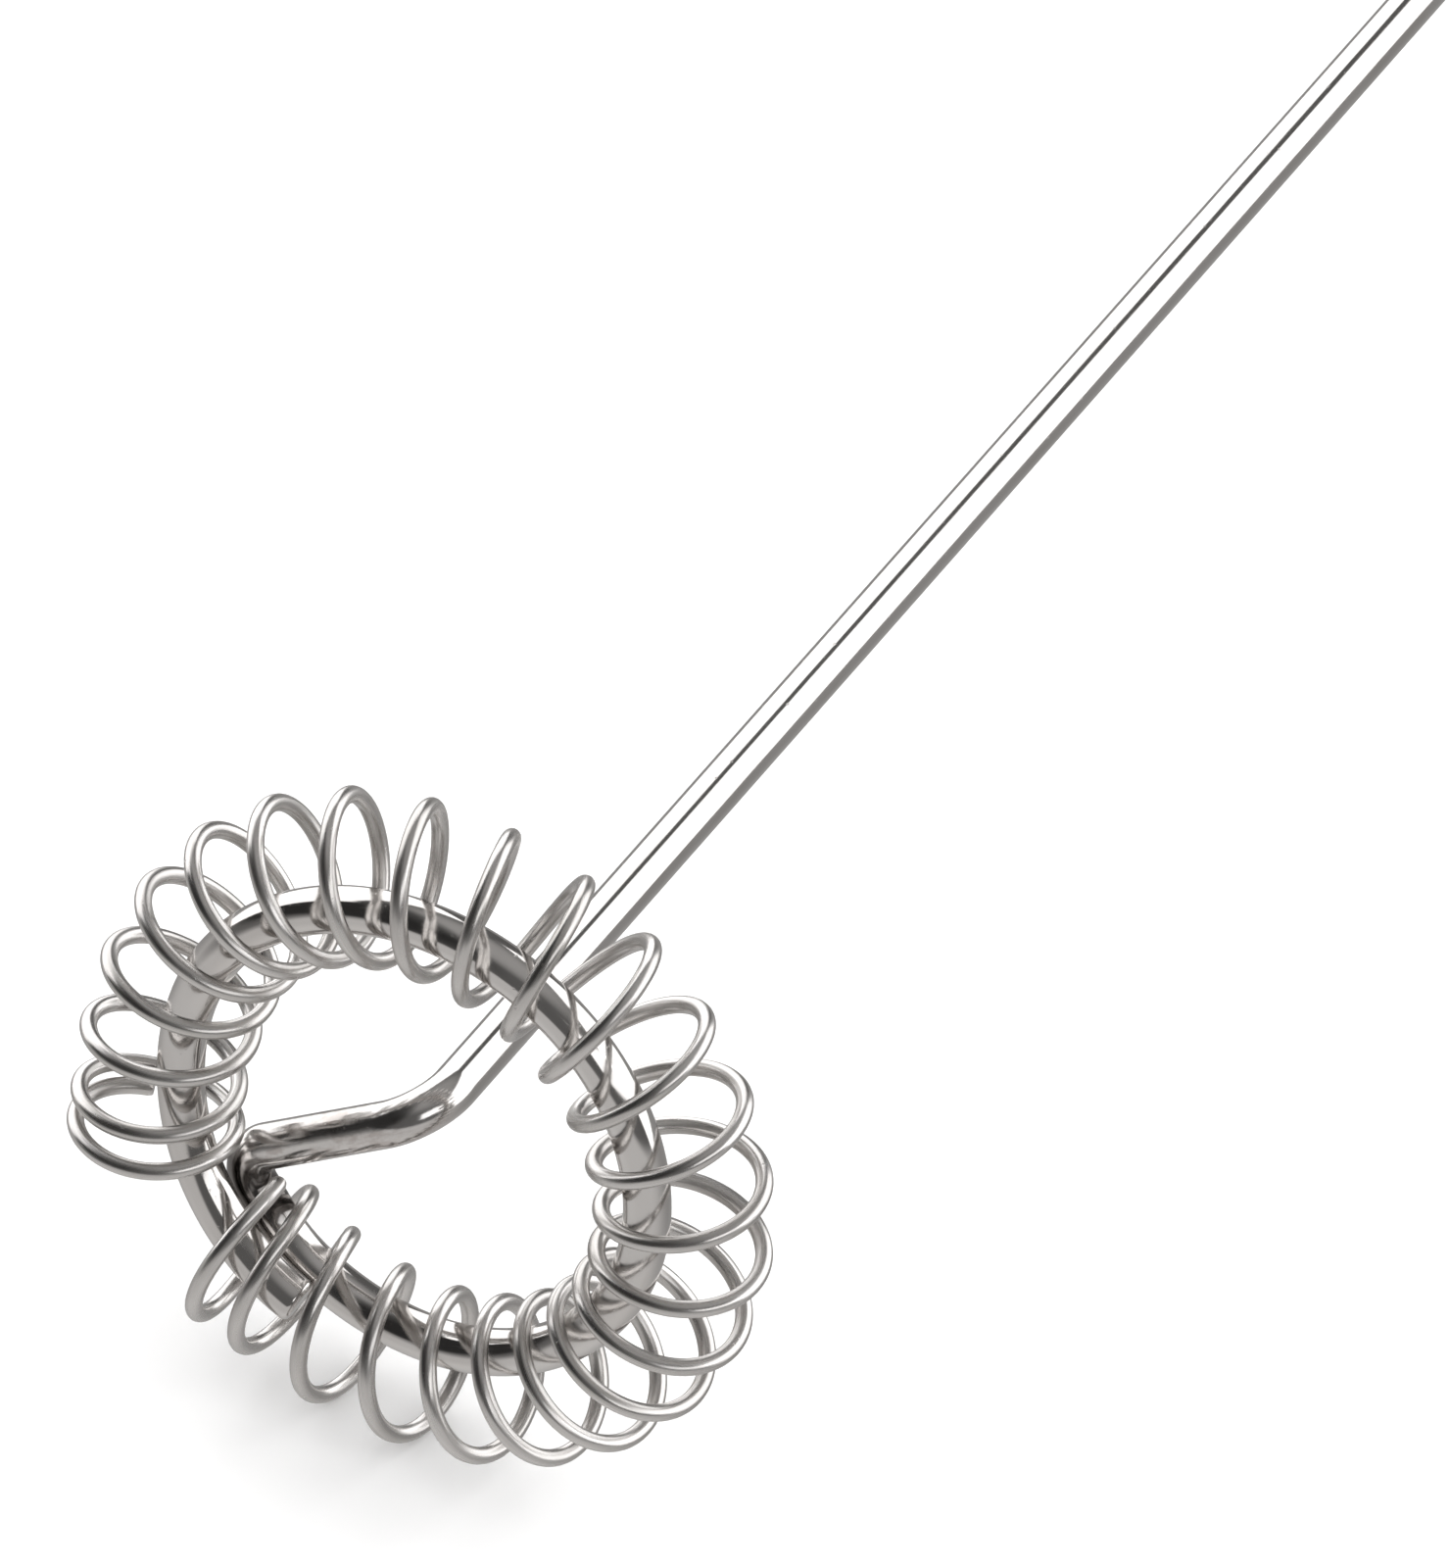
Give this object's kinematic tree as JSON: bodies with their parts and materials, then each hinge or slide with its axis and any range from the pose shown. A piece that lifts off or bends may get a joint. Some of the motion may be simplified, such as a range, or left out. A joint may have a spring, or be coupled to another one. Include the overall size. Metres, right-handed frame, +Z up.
{
  "type": "spring whisk",
  "caption": "Wire whisk: a straight drive shaft bent into a ring that stands square to it, with a loose coil spring threaded round the ring.",
  "frame": {"origin": "centre of the bounding box's bottom face, on the surface the whisk lies on", "axes": "+Z up as it lies, +Y along the shaft towards its drive end, +X to the right seen from the ring looking along the shaft"},
  "size_m": [0.0236, 0.1202, 0.0234],
  "materials": {
    "polished_steel": "polished",
    "drawn_steel": "satin"
  },
  "bodies": {
    "wire": {"whisk_wire": "polished_steel"},
    "spring": {"coil_spring": "drawn_steel"}
  },
  "joints": [
    {"name": "coil_slide", "type": "hinge", "parent": "wire", "child": "spring", "pos_m": [-0.00038, -0.05648, 0.01148], "axis": [0, 0.9958, -0.0918], "range_deg": [-3, 9]}
  ]
}
